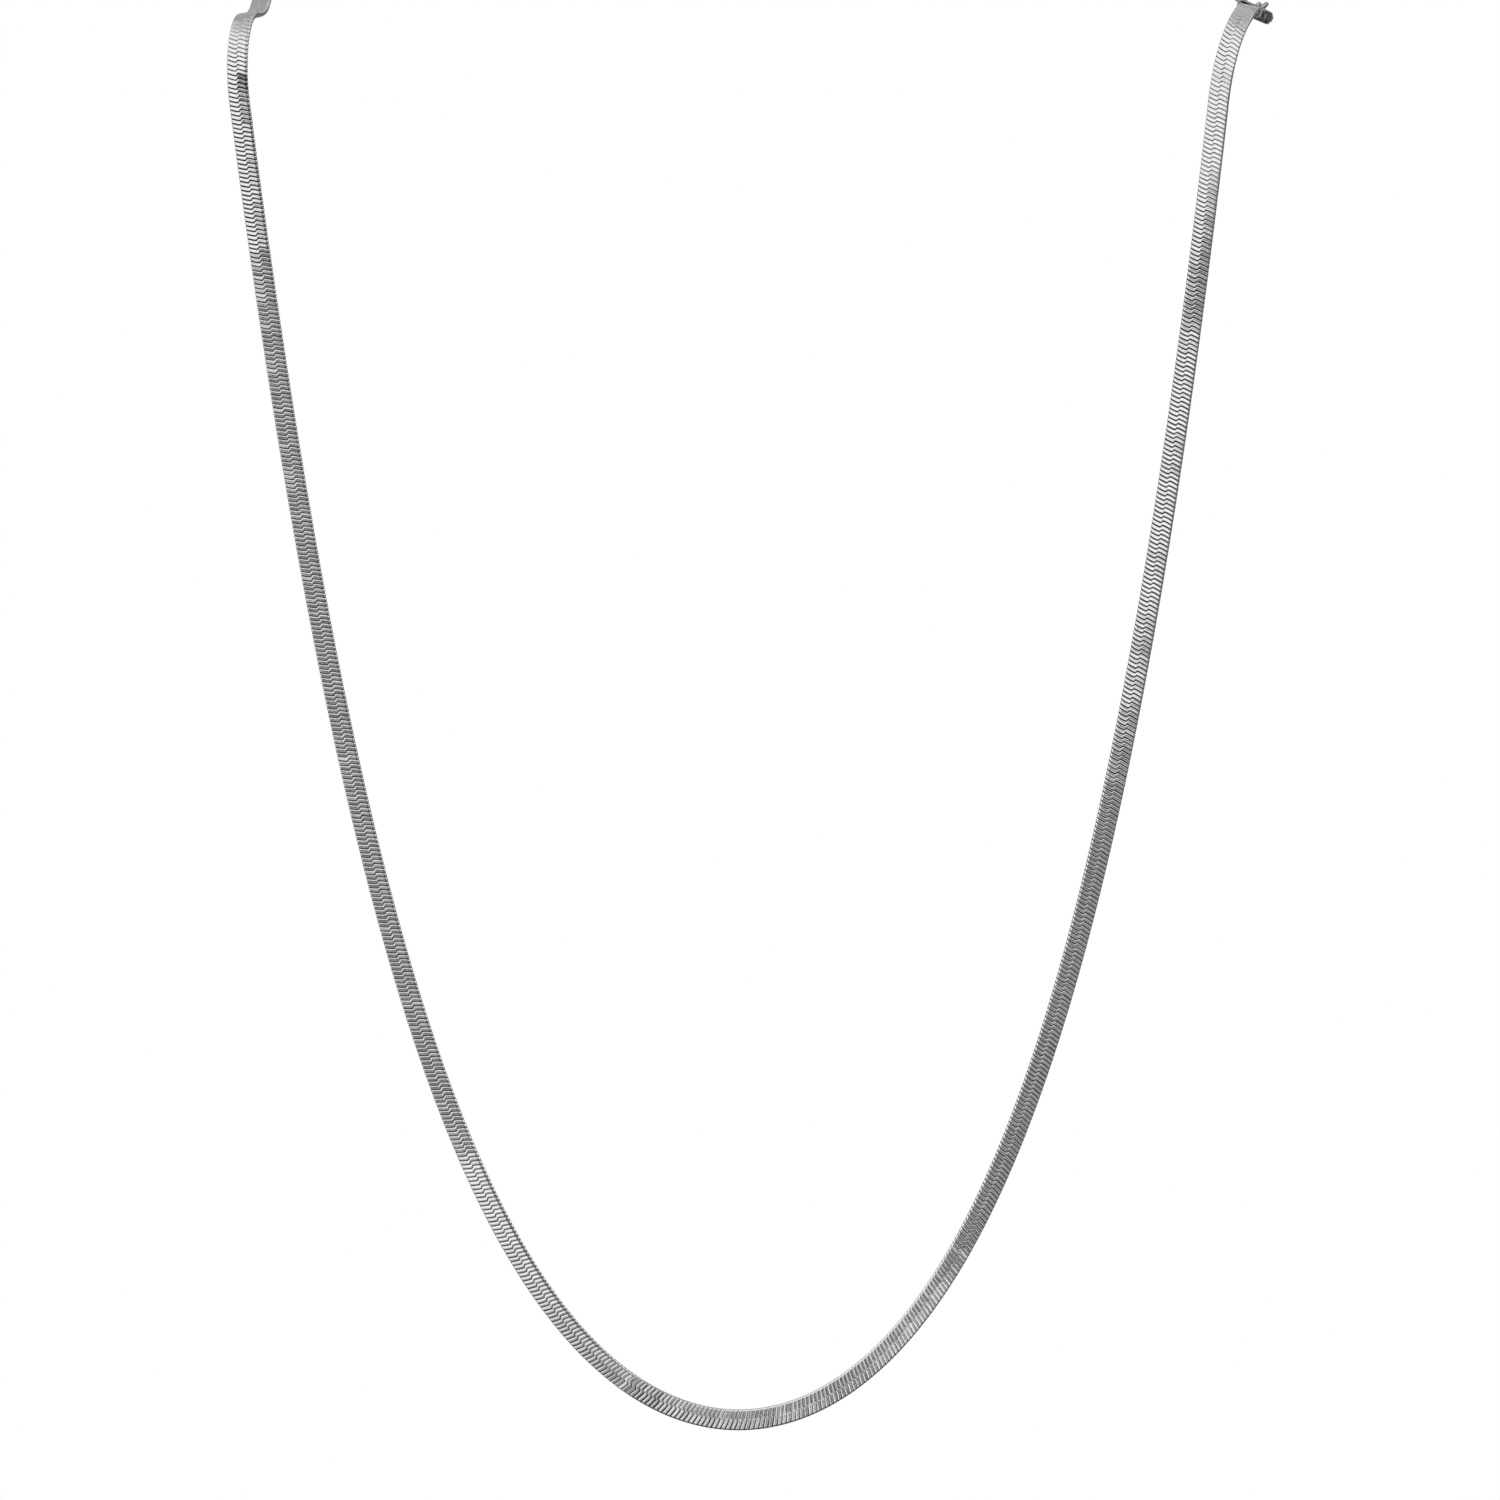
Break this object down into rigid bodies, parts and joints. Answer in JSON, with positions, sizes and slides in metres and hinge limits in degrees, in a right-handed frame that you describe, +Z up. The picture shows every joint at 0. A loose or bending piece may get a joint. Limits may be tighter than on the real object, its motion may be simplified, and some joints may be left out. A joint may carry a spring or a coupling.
{
  "type": "flat chain necklace",
  "caption": "Flat chain necklace of close S-shaped links, hanging in a long U as worn, closed by a lobster clasp with two rings and two end caps.",
  "frame": {"origin": "middle of the neck opening, level with the tops of the shoulders that the chain hangs over", "axes": "+Z up, the front hangs at -Y facing the viewer, +X towards the side with the clasp"},
  "size_m": [0.1504, 0.0775, 0.2338],
  "materials": {
    "chain": "polished",
    "fittings": "polished",
    "clasp": "polished"
  },
  "bodies": {
    "necklace": {"chain_front": "chain", "chain_back": "chain", "end_cap_front": "fittings", "end_cap_back": "fittings", "jump_ring": "fittings", "catch_ring": "fittings", "clasp_body": "clasp", "clasp_pin": "clasp"},
    "lever": {"clasp_lever": "clasp"}
  },
  "joints": [
    {"name": "lever_swing", "type": "hinge", "parent": "necklace", "child": "lever", "pos_m": [0.07539, -0.02134, 0.00068], "axis": [0.4038, -0.0513, 0.9134], "range_deg": [0, 26], "stiffness_Nm_per_rad": 0.002, "springref_deg": -17.19}
  ]
}
